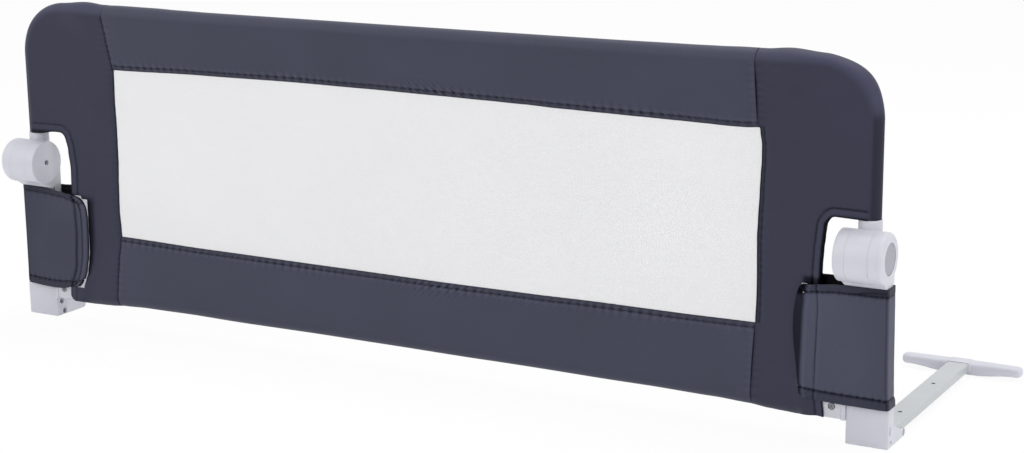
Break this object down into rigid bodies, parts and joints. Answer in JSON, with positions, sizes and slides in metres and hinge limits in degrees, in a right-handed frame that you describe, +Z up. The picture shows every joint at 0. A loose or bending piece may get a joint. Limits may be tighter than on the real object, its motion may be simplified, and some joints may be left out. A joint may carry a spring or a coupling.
{
  "type": "folding bed guard rail",
  "caption": "Folding bed guard rail: a fabric and mesh panel on a tube hoop that turns down over the front about two push-button drum hinges, with legs for under the mattress.",
  "frame": {"origin": "centre of the whole rail's footprint, on the surface that it stands on", "axes": "+X along the rail's length, +Y from the fabric panel back along the legs under the mattress, +Z up"},
  "size_m": [1.324, 0.3564, 0.4211],
  "materials": {
    "shell_plastic": "satin moulded",
    "button_plastic": "satin moulded",
    "painted_steel": "powder coated",
    "bare_steel": "zinc plated",
    "panel_cloth": "plain woven",
    "pocket_cloth": "plain woven",
    "mesh_cloth": "knitted mesh",
    "hook_strip": "hook and loop"
  },
  "bodies": {
    "base_frame": {"base_block_outer_left": "shell_plastic", "base_block_outer_right": "shell_plastic", "base_block_inner_left": "shell_plastic", "base_block_inner_right": "shell_plastic", "hinge_column_left": "shell_plastic", "hinge_column_right": "shell_plastic", "leg_foot_left": "shell_plastic", "leg_foot_right": "shell_plastic", "crossbar_socket_left": "shell_plastic", "crossbar_socket_right": "shell_plastic", "heel_bolt_left": "button_plastic", "heel_bolt_right": "button_plastic", "leg_left": "painted_steel", "leg_right": "painted_steel", "crossbar": "painted_steel", "block_screw_top_left": "bare_steel", "block_screw_top_right": "bare_steel", "block_screw_front_left": "bare_steel", "block_screw_front_right": "bare_steel", "block_screw_low_left": "bare_steel", "block_screw_low_right": "bare_steel", "leg_pin_left": "bare_steel", "leg_pin_right": "bare_steel", "hinge_axle_left": "bare_steel", "hinge_axle_right": "bare_steel", "axle_screw_left": "bare_steel", "axle_screw_right": "bare_steel", "button_spring_left": "bare_steel", "button_spring_right": "bare_steel", "foot_screw_left": "bare_steel", "foot_screw_right": "bare_steel", "socket_screw_left": "bare_steel", "socket_screw_right": "bare_steel", "cover_side_lower_left": "panel_cloth", "cover_side_lower_right": "panel_cloth", "cover_bottom": "panel_cloth", "pocket_left": "pocket_cloth", "pocket_right": "pocket_cloth", "mesh_lower": "mesh_cloth", "closing_strip_left": "hook_strip", "closing_strip_right": "hook_strip"},
    "upper_rail": {"hinge_head_left": "shell_plastic", "hinge_head_right": "shell_plastic", "side_tube_left": "painted_steel", "side_tube_right": "painted_steel", "cover_side_upper_left": "panel_cloth", "cover_side_upper_right": "panel_cloth", "top_tube": "painted_steel", "cover_top": "panel_cloth", "mesh_upper": "mesh_cloth"},
    "left_button": {"release_button_left": "button_plastic", "lock_ring_left": "shell_plastic"},
    "right_button": {"release_button_right": "button_plastic", "lock_ring_right": "shell_plastic"}
  },
  "joints": [
    {"name": "upper_fold", "type": "hinge", "parent": "base_frame", "child": "upper_rail", "pos_m": [0, -0.15, 0.2125], "axis": [1, 0, 0], "range_deg": [0, 180]},
    {"name": "left_button_press", "type": "slide", "parent": "base_frame", "child": "left_button", "axis": [1, 0, 0], "range_m": [0, 0.005], "stiffness_N_per_m": 1000, "springref_m": -0.005, "deforming": ["button_spring_left"]},
    {"name": "right_button_press", "type": "slide", "parent": "base_frame", "child": "right_button", "axis": [-1, 0, 0], "range_m": [0, 0.005], "stiffness_N_per_m": 1000, "springref_m": -0.005, "deforming": ["button_spring_right"]}
  ]
}
